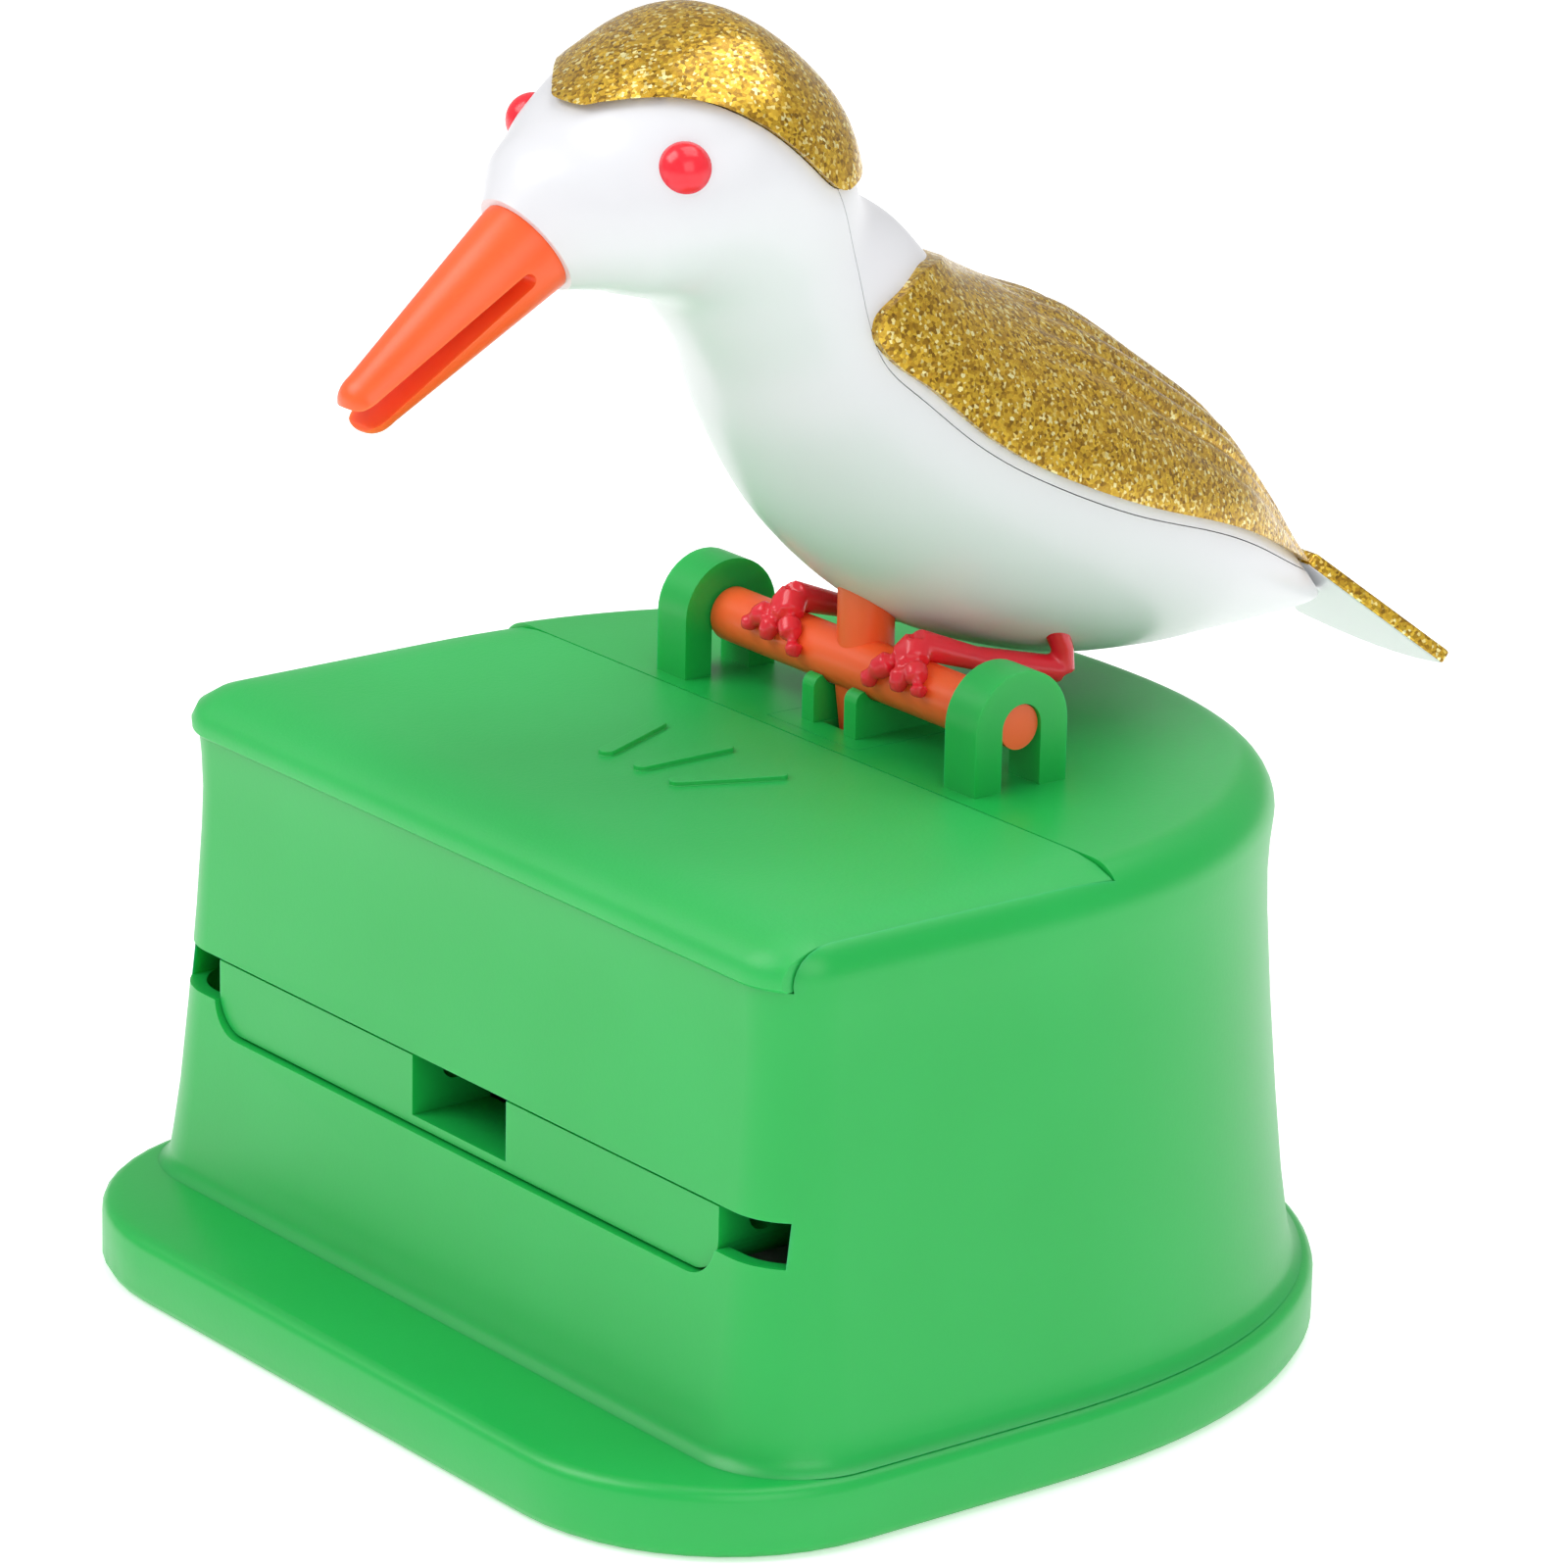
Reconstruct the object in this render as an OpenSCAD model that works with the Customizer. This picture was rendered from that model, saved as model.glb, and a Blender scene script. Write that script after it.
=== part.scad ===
// Bird-shaped toothpick dispenser: a perched bird on a D-shaped hopper box.
// The bird bows on its perch, a gear sector and an idler push a tray out of the
// front slot with one toothpick, and the split beak picks it up.
// X runs right, Y runs to the back, Z up; the origin is under the base's middle.

/* [Base] */
// Half width of the base
base_half_w = 38.9; // [38:0.1:42]
// Front edge of the base
base_front_y = -37; // [-40:0.5:-35]
// Back edge of the base
base_back_y = 37; // [36.5:0.5:40]
// Front corner radius of the base
base_corner_r = 16.3; // [10:0.1:20]
// Height of the base plate
base_h = 5; // [4.5:0.1:5.5]

/* [Box] */
// Height of the deck above the table
deck_z = 40.5; // [40:0.1:41]
// Half width of the box at the deck
box_half_w = 35; // [34.8:0.1:35.5]
// Front face of the box at the deck
box_front_y = -25.4; // [-26:0.1:-25]
// Back of the box at the deck
box_back_y = 32.8; // [32.5:0.1:34]
// Where the straight sides end and the curved back begins
side_end_y = -5.5; // [-7:0.5:-4]
// How far each wall leans out between the deck and the base
box_flare = 2.4; // [2.2:0.1:2.6]
// Wall thickness of the box
wall = 1.6; // [1.4:0.1:1.8]
// Thickness of the deck
deck_t = 1.8; // [1.6:0.1:1.9]
// Radius round the top edge
top_round = 3; // [2:0.5:3.5]
// Height of the slot's upper edge
slot_top_z = 21.6; // [21.5:0.1:21.8]

/* [Lid] */
// Rear edge of the refill lid
lid_rear_y = 2.1; // [1.8:0.1:2.2]
// Right end of the refill lid
lid_right_x = 33.9; // [33.5:0.1:34]
// Lower edge of the refill lid
lid_low_z = 37; // [36.9:0.1:37.2]

/* [Perch] */
// Height of the perch axis
axis_z = 44.8; // [44.7:0.1:45]
// Place of the perch axis, front to back
axis_y = 7.4; // [7.2:0.1:7.6]
// Perch rod radius
rod_r = 1.95; // [1.85:0.05:2.05]
// Perch stub radius
stub_r = 1.6; // [1.5:0.05:1.7]
// Inner face of each post
post_in_x = 14.5; // [14.3:0.1:14.7]
// Thickness of each post
post_t = 3.3; // [3:0.1:3.6]
// Running clearance of the perch
run_gap = 0.06; // [0.03:0.01:0.1]

/* [Drive] */
// Gear module
gear_m = 0.8; // [0.8:0.8:0.8]
// Teeth on a full circle of the perch sector
sector_teeth = 25; // [25:1:25]
// Teeth on the idler
idler_teeth = 14; // [14:1:14]
// Play cut from each flank of a tooth
flank_play = 0.12; // [0.08:0.01:0.16]
// Bow angle of the bird
bow_angle = 62; // [58:1:62]

/* [Tray] */
// Half width of the tray and its front panel
tray_half_w = 29; // [28.8:0.1:29.1]
// Front face of the tray's panel at rest
tray_front_y = -26; // [-26.2:0.1:-25.9]
// Half width of the beak notch
notch_half_w = 5.45; // [5.2:0.05:5.6]

/* [Bird] */
// Thickness of the bird's shell
shell_t = 1.4; // [1.2:0.1:1.6]
// How far the crest and the wings stand out
raise_t = 0.8; // [0.5:0.1:0.9]
// Length of the beak
beak_len = 17; // [16:0.5:17.5]

/* [Hidden] */
$fn = 48;

eps = 0.01;
curve_power = 2.25;
slot_z_low = 18.5;
panel_z_low = 16.45;
panel_corner = 2.7;
tray_top_z = 21.4;
groove_r = 1.15;
groove_z = 20.2;
sector_r = gear_m * sector_teeth / 2;
idler_r = gear_m * idler_teeth / 2;
mesh_angle = 34;
idler_y = axis_y + (sector_r + idler_r) * sin(mesh_angle);
idler_z = axis_z - (sector_r + idler_r) * cos(mesh_angle);
rack_z = idler_z - idler_r;
travel = sector_r * bow_angle * PI / 180;
groove_y = -33.2 + travel;
screw_spots = [[-32.4, -22.4], [32.4, -22.4], [-21, 23.4], [21, 23.4]];
guide_spots = [[-12, 8], [12, 8]];
cradle_x = 1.7;
cradle_t = 1.3;
beak_root = [0, -21, 78.2];
beak_pitch = 35;
eye_spot = [8.4, -14.5, 84.1];
eye_r = 1.86;
screw_seat = 2.2;

// Outline of the box and the base: straight front and sides, rounded front
// corners, and a full, curved back. Points run from the front middle round by the right.
function half_outline(w, front, corner, side_end, back) = concat(
    [[0, front]],
    [for (t = [-90 : 7.5 : 0]) [w - corner + corner * cos(t), front + corner + corner * sin(t)]],
    [for (t = [0 : 5 : 90]) [w * pow(cos(t), 2 / curve_power),
                             side_end + (back - side_end) * pow(sin(t), 2 / curve_power)]]);
function mirrored(pts) = [for (i = [len(pts) - 2 : -1 : 1]) [-pts[i][0], pts[i][1]]];
function full_outline(pts) = concat(pts, mirrored(pts));

module box_outline(out = 0) {
    polygon(full_outline(half_outline(box_half_w + out, box_front_y - out, 3.3 + max(out, -2.5),
                                      side_end_y, box_back_y + out)));
}

module base_outline(out = 0) {
    polygon(full_outline(half_outline(base_half_w + out, base_front_y - out, base_corner_r + out,
                                      side_end_y, base_back_y + out)));
}

module slice(z, out) {
    translate([0, 0, z]) linear_extrude(eps) box_outline(out);
}

// Outer form of the box: leaning walls and a rounded top edge
module box_form() {
    hull() {
        slice(base_h, box_flare);
        slice(deck_z - top_round, box_flare * top_round / (deck_z - base_h));
        slice(deck_z - top_round * 0.35, -top_round * 0.22);
        slice(deck_z - eps, -top_round);
    }
}

module box_cavity() {
    hull() {
        slice(base_h - 1, box_flare - wall);
        slice(deck_z - deck_t - eps, -wall);
    }
}

module block(low, high) {
    translate(low) cube(high - low);
}

// Rounded bar along X whose cross-section is given in Y and Z
module along_x(low, high) {
    translate([low, 0, 0]) rotate([90, 0, 90]) linear_extrude(high - low) children();
}

module x_cylinder(low, high, r, y = axis_y, z = axis_z) {
    translate([low, y, z]) rotate([0, 90, 0]) cylinder(h = high - low, r = r);
}

module base_plate() {
    color("limegreen") {
        difference() {
            union() {
                linear_extrude(base_h) base_outline();
                translate([0, 0, base_h]) linear_extrude(1.8) difference() {
                    box_outline(box_flare - wall - 0.2);
                    box_outline(box_flare - wall - 1.4);
                    for (p = screw_spots) translate(p) circle(r = 4.2);
                }
            }
            for (p = concat(screw_spots, guide_spots)) translate([p[0], p[1], -eps]) {
                cylinder(h = base_h + 1, r = 1.4);
                cylinder(h = screw_seat + eps, r = 2.7);
            }
        }
    }
}

// Pan-head screw that points up, seated in its counterbore
module screw(p) {
    head_h = 1.75;
    translate([p[0], p[1], screw_seat - head_h - 0.05]) {
        difference() {
            cylinder(h = head_h, r = 2.4);
            for (a = [0, 90]) rotate(a) translate([-1.5, -0.3, -eps]) cube([3, 0.6, 1]);
        }
        translate([0, 0, head_h]) cylinder(h = 8, r = 1.2);
    }
}

module base_screws() {
    color("silver") for (p = screw_spots) screw(p);
}

module guide_screws() {
    color("silver") for (p = guide_spots) screw(p);
}

// Post with an arched top and an open slot that takes the perch stub
module post(x) {
    difference() {
        union() {
            x_cylinder(x, x + post_t, 3.95);
            block([x, axis_y - 3.85, deck_z - 1], [x + post_t, axis_y + 3.85, axis_z]);
        }
        x_cylinder(x - 1, x + post_t + 1, stub_r + run_gap);
        block([x - 1, axis_y - stub_r - run_gap, deck_z],
              [x + post_t + 1, axis_y + stub_r + run_gap, axis_z]);
    }
}

// Front outline of the tray's panel: square top corners, rounded lower ones
module panel_outline(half_w, low, top, corner) {
    arc = [for (t = [0 : 9 : 90]) [half_w - corner + corner * sin(t), low + corner - corner * cos(t)]];
    polygon(concat([[half_w, top], [-half_w, top]],
                   [for (i = [len(arc) - 1 : -1 : 0]) [-arc[i][0], arc[i][1]]], arc));
}

module front_opening() {
    gap = 0.2;
    translate([0, -20, 0]) rotate([90, 0, 0]) linear_extrude(20) {
        panel_outline(tray_half_w + gap, panel_z_low - gap, slot_top_z, panel_corner + gap);
        translate([-34.5, slot_z_low]) square([69, slot_top_z - slot_z_low]);
    }
}

module housing() {
    bead_y = -23.4;
    color("mediumseagreen") {
        difference() {
            union() {
                difference() {
                    box_form();
                    box_cavity();
                }
                for (x = [post_in_x, -post_in_x - post_t]) post(x);
                intersection() {
                    union() {
                        for (p = screw_spots) translate([p[0], p[1], base_h]) cylinder(h = 9, r = 3.4);
                        block([-31, box_front_y - 1, 35.6], [31, bead_y, 36.6]);
                    }
                    box_form();
                }
            }
            for (p = screw_spots) translate([p[0], p[1], base_h - 1]) cylinder(h = 9, r = 1.22);
            block([-50, -50, lid_low_z], [lid_right_x + 0.15, lid_rear_y + 0.1, 60]);
            block([-50, -24.4, 34], [-30, -21.6, 50]);
            block([-50, 0, lid_low_z], [-30, 3.1, deck_z - deck_t + eps]);
            front_opening();
            cradle_cutout();
        }
    }
}

module cradle_cutout() {
    block([-5, 3.4, deck_z - deck_t - 1], [5, 20, deck_z + 0.02]);
}

// Sloping hopper floor with a rear wall and two pairs of legs
module hopper_ramp() {
    half_w = 33.1;
    color("mediumseagreen") {
        along_x(-half_w, half_w) polygon([
            [-18.4, 21.7], [0, 30.2], [0, 38.3], [-1.2, 38.3], [-1.2, 31], [-18.4, 23]]);
        for (s = [-1, 1], y = [-15, -5]) translate([s * 31.2, y, 0])
            block([-1, -2, base_h], [1, 2, 23 + (y + 15) * 0.46]);
    }
}

module lid_form() {
    hull() {
        slice(lid_low_z, box_flare * 0.1 + 0.35);
        slice(deck_z - 1.6, -0.1);
        slice(deck_z - 0.5, -1.7);
        slice(deck_z - eps, -3.6);
    }
}

module refill_lid() {
    plate_z = 38.5;
    color("mediumseagreen") {
        intersection() {
            lid_form();
            difference() {
                block([-50, -50, lid_low_z + 0.05], [lid_right_x, lid_rear_y, 60]);
                block([-33.3, -23.7, 30], [50, 50, plate_z]);
            }
        }
        block([-30, 0.3, plate_z - 0.6], [30, lid_rear_y - eps, plate_z + eps]);
        block([-30, 1.8, plate_z - 0.6], [30, 2.7, plate_z]);
        block([-28, -23.2, 34.4], [32, -22, plate_z + eps]);
        block([-28, -23.95, 34.4], [32, -22.6, 35.4]);
        lid_motif();
    }
}

// Plain raised leaf-like strokes fanned out on the lid
module lid_motif() {
    for (i = [-1 : 1]) translate([4 * i, -11, deck_z - eps]) rotate(-24 * i)
        linear_extrude(0.35) {
            translate([-0.6, 0]) square([1.2, 7]);
            for (y = [0, 7]) translate([0, y]) circle(r = 0.6);
        }
}

// Insert in the deck with two saddle fins that carry the perch rod
module perch_cradle() {
    fin_h = 3.3;
    gap = 0.05;
    color("limegreen") difference() {
        union() {
            block([-5 + gap, 3.4 + gap, deck_z - deck_t], [5 - gap, 20 - gap, deck_z]);
            difference() {
                block([-7, 3.1, deck_z - deck_t - 1.4], [7, 21.5, deck_z - deck_t]);
                block([-2.7, 3, 30], [2.7, 20.2, deck_z - deck_t]);
            }
            for (x = [cradle_x, -cradle_x - cradle_t]) {
                block([x, 4.9, deck_z - eps], [x + cradle_t, 13.5, deck_z + fin_h - 0.8]);
                block([x, 5.7, deck_z], [x + cradle_t, 12.7, deck_z + fin_h]);
                for (y = [5.7, 12.7]) x_cylinder(x, x + cradle_t, 0.8, y, deck_z + fin_h - 0.8);
            }
        }
        x_cylinder(-6, 6, rod_r + run_gap);
        block([-1.5, 5.6, 30], [1.5, 18.8, 50]);
    }
}

// Floor, tray rails, rack channel, spring stop and the idler's two ears
module tray_guide() {
    channel_x = 2.75;
    ear_x = 2.9;
    color("whitesmoke") difference() {
        union() {
            block([-24, -22, base_h], [24, 14, base_h + 1.6]);
            block([-8, 13, base_h], [8, 28, base_h + 1.6]);
            for (s = [-1, 1]) {
                translate([s * 22, 0, 0]) block([-1, -22, base_h], [1, -4, 16.35]);
                translate([s * (channel_x + 0.75), 0, 0]) block([-0.75, -4, base_h], [0.75, 28, 19.5]);
                translate([s * 2.3, 0, 0]) block([-0.6, -3.4, 16.2], [0.6, 28, 17.4]);
                translate([s * (ear_x + 1), 0, 0])
                    block([-1, idler_y - 3.9, base_h], [1, idler_y + 3.9, idler_z]);
                x_cylinder(s * (ear_x + 1) - 1, s * (ear_x + 1) + 1, 4, idler_y, idler_z);
            }
            block([-4, -6, base_h], [4, -4, 16.2]);
            for (p = guide_spots) translate([p[0], p[1], base_h]) cylinder(h = 8, r = 3);
        }
        for (p = guide_spots) translate([p[0], p[1], base_h - 1]) cylinder(h = 8, r = 1.22);
        x_cylinder(-6, 6, 1.22, idler_y, idler_z);
    }
}

// Tray with a notched front panel, a toothpick groove and a rack on its tail
module pick_tray() {
    tail_half_w = 2.5;
    tail_end_y = 31.6;
    pitch = PI * gear_m;
    color("mediumseagreen") difference() {
        union() {
            translate([0, -6, 0]) rotate([90, 0, 0]) linear_extrude(-6 - tray_front_y)
                panel_outline(tray_half_w, panel_z_low, tray_top_z, panel_corner);
            block([-tail_half_w, -7, 17.5], [tail_half_w, tail_end_y, 20.5]);
            block([-tail_half_w, idler_y - 4, 17.5], [tail_half_w, tail_end_y, rack_z - gear_m]);
            block([-1.5, 13.5, 9], [1.5, 15.5, 18]);
            along_x(-tail_half_w, tail_half_w) for (i = [-1 : 5])
                translate([idler_y + (i + rack_phase()) * pitch, rack_z]) rack_tooth();
        }
        x_cylinder(-40, 40, groove_r, groove_y, groove_z);
        block([-40, groove_y - groove_r, groove_z], [40, groove_y + groove_r, 30]);
        block([-notch_half_w, -30, 17.1], [notch_half_w, -17, 30]);
        for (s = [-1, 1]) translate([s * 14.5, 0, 0]) block([-11, -19.5, 10], [11, -7.6, 19.8]);
    }
}

// Trapezoid rack tooth centred on its pitch line
module rack_tooth() {
    half_tip = PI * gear_m / 4 - gear_m * tan(20) - flank_play;
    half_root = PI * gear_m / 4 + 1.1 * gear_m * tan(20) - flank_play;
    polygon([[-half_root, -1.1 * gear_m], [half_root, -1.1 * gear_m], [half_tip, gear_m], [-half_tip, gear_m]]);
}

// Share of a pitch from the idler's lowest point to the nearest rack tooth.
// The idler has a gap facing the sector, so its teeth fix the rack's phase.
function rack_phase() = let (steps = (180 - mesh_angle) / (360 / idler_teeth)) round(steps) - steps;

function inv_deg(a) = tan(a) * 180 / PI - a;
function tooth_half_angle(n, r) =
    let (base_r = gear_m * n / 2 * cos(20), pitch_r = gear_m * n / 2)
    90 / n + inv_deg(20) - inv_deg(acos(min(1, base_r / r))) - flank_play / pitch_r * 180 / PI;

// One involute tooth that points along +Y of the sketch
module gear_tooth(n) {
    pitch_r = gear_m * n / 2;
    root_r = pitch_r - 1.2 * gear_m;
    low_r = max(root_r, pitch_r * cos(20) + 0.01);
    radii = concat([root_r - 0.3], [for (k = [0 : 4]) low_r + (pitch_r + gear_m - low_r) * k / 4]);
    angles = [for (r = radii) tooth_half_angle(n, max(r, low_r))];
    right = [for (i = [0 : len(radii) - 1]) radii[i] * [sin(angles[i]), cos(angles[i])]];
    left = [for (i = [len(radii) - 1 : -1 : 0]) radii[i] * [-sin(angles[i]), cos(angles[i])]];
    polygon(concat(right, left));
}

module idler_gear() {
    half_w = 2.3;
    color("whitesmoke") difference() {
        translate([0, idler_y, idler_z]) along_x(-half_w, half_w) {
            circle(r = idler_r - 1.2 * gear_m);
            for (i = [0 : idler_teeth - 1])
                rotate(mesh_angle + (i + 0.5) * 360 / idler_teeth) gear_tooth(idler_teeth);
        }
        x_cylinder(-5, 5, 1.27, idler_y, idler_z);
    }
}

module idler_pin() {
    color("silver") x_cylinder(-5.2, 5.2, 1.2, idler_y, idler_z);
}

// Helical compression spring along Y between the guide's stop and the tray's lug
module return_spring() {
    from_y = -4;
    to_y = 13.5;
    wire_r = 0.3;
    turns = 8;
    steps = turns * 12;
    coil_r = 2;
    sides = 6;
    function at(i) = let (a = 360 * turns * i / steps)
        [coil_r * cos(a), from_y + wire_r + (to_y - from_y - 2 * wire_r) * i / steps, 11.5 + coil_r * sin(a)];
    function ring(i) = let (a = 360 * turns * i / steps, p = at(i))
        [for (k = [0 : sides - 1]) let (b = 360 * k / sides)
            p + wire_r * [cos(b) * cos(a), sin(b), cos(b) * sin(a)]];
    color("silver") tube([for (i = [0 : steps]) ring(i)]);
}

// Closed skin over a list of rings of equal length
module tube(rings) {
    n = len(rings[0]);
    last = len(rings) - 1;
    points = [for (ring = rings) each ring];
    sides = [for (i = [0 : last - 1], k = [0 : n - 1])
        [i * n + k, (i + 1) * n + k, (i + 1) * n + (k + 1) % n, i * n + (k + 1) % n]];
    polyhedron(points, concat([[for (k = [0 : n - 1]) k]], sides,
                              [[for (k = [n - 1 : -1 : 0]) last * n + k]]), convexity = 6);
}

// Perch rod with its stubs, the saddle under the bird and the gear sector
module perch_rod() {
    sector_half_w = 1.15;
    front_end = bow_angle - mesh_angle + 3;
    back_end = mesh_angle + 8;
    tooth_a = 360 / sector_teeth;
    rim_in_r = 7.6;
    color("orangered") {
        x_cylinder(-post_in_x + 0.2, post_in_x - 0.2, rod_r);
        x_cylinder(-post_in_x - post_t + 0.3, post_in_x + post_t - 0.3, stub_r);
        difference() {
            translate([0, axis_y + 0.6, axis_z]) cylinder(h = 6.4, r = 2);
            bird_form(0.05, 9, 13);
        }
        translate([0, axis_y, axis_z]) along_x(-sector_half_w, sector_half_w) {
            rotate(8) translate([-1.3, -8]) square([2.6, 8]);
            intersection() {
                difference() {
                    union() {
                        circle(r = sector_r - 1.2 * gear_m);
                        for (i = [-4 : 0]) rotate(180 + mesh_angle + i * tooth_a) gear_tooth(sector_teeth);
                    }
                    circle(r = rim_in_r);
                }
                polygon([[0, 0], 20 * [-sin(front_end), -cos(front_end)], [0, -30],
                         20 * [sin(back_end), -cos(back_end)]]);
            }
        }
    }
}

// Stations from the collar round the beak to the rump: lower contour y and z, upper contour
// y and z, and half width. Each ring is an ellipse between its two contours.
stations = [
    [-18.8, 75, -23.3, 81.5, 4], [-17.6, 74.9, -21.6, 84.3, 6], [-16.2, 74.7, -19, 86, 7.8],
    [-14.9, 74.3, -16.4, 87.9, 9.4], [-13.4, 73.9, -12.2, 90.5, 10.6], [-11.6, 73.4, -6.4, 91.9, 11.4],
    [-9.8, 72.6, 0.1, 87.2, 11.2], [-8, 70.8, 3, 80.5, 10.2], [-5.6, 67.4, 7.2, 77.3, 10.6],
    [-2.9, 61.6, 10.8, 73.6, 12.3], [2, 54.2, 16.5, 70.6, 14], [9.5, 47.9, 22.1, 68.3, 14.8],
    [19, 44.3, 28.1, 64.3, 14.2], [27.2, 43.2, 34, 59.9, 12.4], [33.8, 43.1, 38.6, 54.7, 9.8],
    [39.8, 43, 42.7, 49.6, 6.8], [45.4, 43, 46.4, 45.5, 3.8], [49, 43.4, 48.6, 42.8, 0.8]
];

function station(i) = stations[max(0, min(len(stations) - 1, i))];
function blend_at(t) = let (i = floor(t), f = t - i, a = station(i - 1), b = station(i),
                            c = station(i + 1), d = station(i + 2))
    0.5 * (2 * b + (c - a) * f + (2 * a - 5 * b + 4 * c - d) * f * f + (3 * b - 3 * c + d - a) * f * f * f);
function bird_ring(t, out) = let (s = blend_at(t), low = [s[0], s[1]], high = [s[2], s[3]],
                                  mid = (low + high) / 2, half = (high - low) / 2,
                                  k = (norm(half) + out) / norm(half))
    [for (a = [0 : 11.25 : 348.75]) [(s[4] + out) * sin(a), mid[0] + k * half[0] * cos(a), mid[1] + k * half[1] * cos(a)]];

module bird_form(out = 0, from = 0, to = len(stations) - 1) {
    tube([for (t = [from : 0.5 : to]) bird_ring(t, out)]);
}

module bird_wall() {
    difference() {
        bird_form();
        bird_form(-shell_t, 0.5, 15);
    }
}

// Side outline of the back cover's seam: nape, under the wing, rump
back_edge = [[-4, 82.2], [-1.8, 77.5], [-0.6, 72.5], [0.6, 69.2], [3, 66.7], [7.1, 63.1], [12, 60.2],
             [19.2, 57], [27.7, 54.1], [33.2, 51.8], [40.9, 48], [50, 43.8]];
// Side outline of the gold crest's lower rim
crest_edge = [[-18.6, 88.6], [-18.5, 87.7], [-18, 87.4], [-17, 87.8], [-15.6, 88.2], [-14.1, 88.4], [-12.6, 88.2],
              [-11.3, 87.7], [-9.7, 86.7], [-8.2, 85.5], [-6.5, 84], [-5.1, 82.7], [-4.1, 82], [-3.2, 81.8]];
// Side outline of the raised wings
wing_edge = [[14.8, 72.2], [11, 73.9], [8.9, 74.6], [6.6, 75], [4.6, 75], [2, 74], [0.3, 73.1], [-0.3, 72.2],
             [-0.2, 71], [1, 69.4], [3.4, 67.5], [7.4, 63.9], [12.2, 61], [19.3, 57.9], [27.9, 54.9], [33.4, 52.6],
             [41.1, 48.8], [48, 45.4]];

module crest_zone(shift = 0) {
    translate([0, shift * 0.5, shift]) along_x(-20, 20)
        polygon(concat(crest_edge, [[6, 83.4], [6, 100], [-18.6, 100]]));
}

module back_zone(shift = 0) {
    translate([0, shift * 0.5, shift]) along_x(-20, 20)
        polygon(concat(back_edge, [[60, 60], [40, 90], [-4, 90]]));
}

module body_shell() {
    color("white") difference() {
        bird_wall();
        crest_zone();
        back_zone();
        translate(beak_root) rotate([90 + beak_pitch, 0, 0]) translate([0, 0, -3]) cylinder(h = 9, r = 3.7);
        for (s = [-1, 1]) {
            translate([s * eye_spot[0], eye_spot[1], eye_spot[2]]) sphere(r = eye_r + 0.1);
            translate([s * 8.8, 16.6, 47]) sphere(r = 2.2);
        }
    }
}

module back_cover() {
    color("gold") difference() {
        union() {
            intersection() {
                bird_form();
                back_zone(0.06);
            }
            intersection() {
                bird_form(raise_t, 6, 16.5);
                along_x(-20, 20) polygon(concat(wing_edge, [[60, 50], [60, 78], [14.8, 78]]));
            }
        }
        bird_form(-shell_t, 0.5, 15);
        crest_zone();
    }
}

module crest_cap() {
    color("gold") intersection() {
        difference() {
            bird_form(raise_t);
            bird_form(-shell_t, 0.5, 15);
        }
        crest_zone(0.06);
    }
}

// Fan-shaped tail plate that slopes down behind the rump
module tail_fan() {
    slope = 41;
    color("gold") difference() {
        translate([0, 47, 46]) rotate([-slope, 0, 0]) translate([0, 0, -0.6]) linear_extrude(1.1)
            polygon(concat([[-3, 0], [3, 0]], [for (t = [20 : -5 : -20]) [23.5 * sin(t), 12 - 23.5 * (1 - cos(t))]]));
        bird_form(raise_t + 0.02, 13);
    }
}

// Beak of two tines with a slit between them, on a round root
module beak() {
    color("tomato") translate(beak_root) rotate([90 + beak_pitch, 0, 0]) difference() {
        union() {
            hull() {
                cylinder(h = 1, r = 3.55, $fn = 32);
                translate([0, 0, beak_len - 2.1]) sphere(r = 2.1, $fn = 32);
            }
            translate([0, 0, -2.4]) cylinder(h = 3, r = 3.4);
        }
        translate([0, 0, 1.8]) rotate([0, 90, 0]) cylinder(h = 20, r = 0.4, center = true);
        rotate([90, 0, 90]) translate([0, 0, -10]) linear_extrude(20)
            polygon([[-0.4, 1.8], [0.4, 1.8], [0.75, beak_len + 1], [-0.75, beak_len + 1]]);
    }
}

module eye(side) {
    color("crimson") translate([side * eye_spot[0], eye_spot[1], eye_spot[2]]) sphere(r = eye_r);
}

module eye_right() {
    eye(1);
}

module eye_left() {
    eye(-1);
}

module limb(a, b, ra, rb) {
    hull() {
        translate(a) sphere(r = ra, $fn = 14);
        translate(b) sphere(r = rb, $fn = 14);
    }
}

// Point on a toe that wraps the front of the rod, by its angle from the top
function toe_point(x, a) = [x, axis_y - (rod_r + 0.5) * sin(a), axis_z + (rod_r + 0.5) * cos(a)];

module leg(side) {
    hub = [6.9 * side, 7, 48];
    heel = [8.6 * side, 18.4, 44.6];
    color("crimson") difference() {
        union() {
            limb(hub, heel, 1.1, 1);
            limb(heel, [8.8 * side, 17.4, 48.2], 1, 1);
            for (toe = [[4.2, 96], [7.3, 84], [9.5, 80]]) {
                knuckle = toe_point((7 + toe[0]) / 2 * side, 35);
                limb(hub, knuckle, 1.1, 0.8);
                limb(knuckle, toe_point(toe[0] * side, toe[1]), 0.8, 0.6);
            }
        }
        x_cylinder(-20, 20, rod_r + 0.02);
        difference() {
            bird_form(0.02, 9, 14);
            translate([8.8 * side, 16.6, 47]) sphere(r = 2.15, $fn = 24);
        }
    }
}

module leg_right() {
    leg(1);
}

module leg_left() {
    leg(-1);
}

base_plate();
base_screws();
housing();
hopper_ramp();
refill_lid();
perch_cradle();
tray_guide();
guide_screws();
pick_tray();
return_spring();
idler_gear();
idler_pin();
perch_rod();
body_shell();
back_cover();
crest_cap();
tail_fan();
beak();
eye_right();
eye_left();
leg_right();
leg_left();
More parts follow.
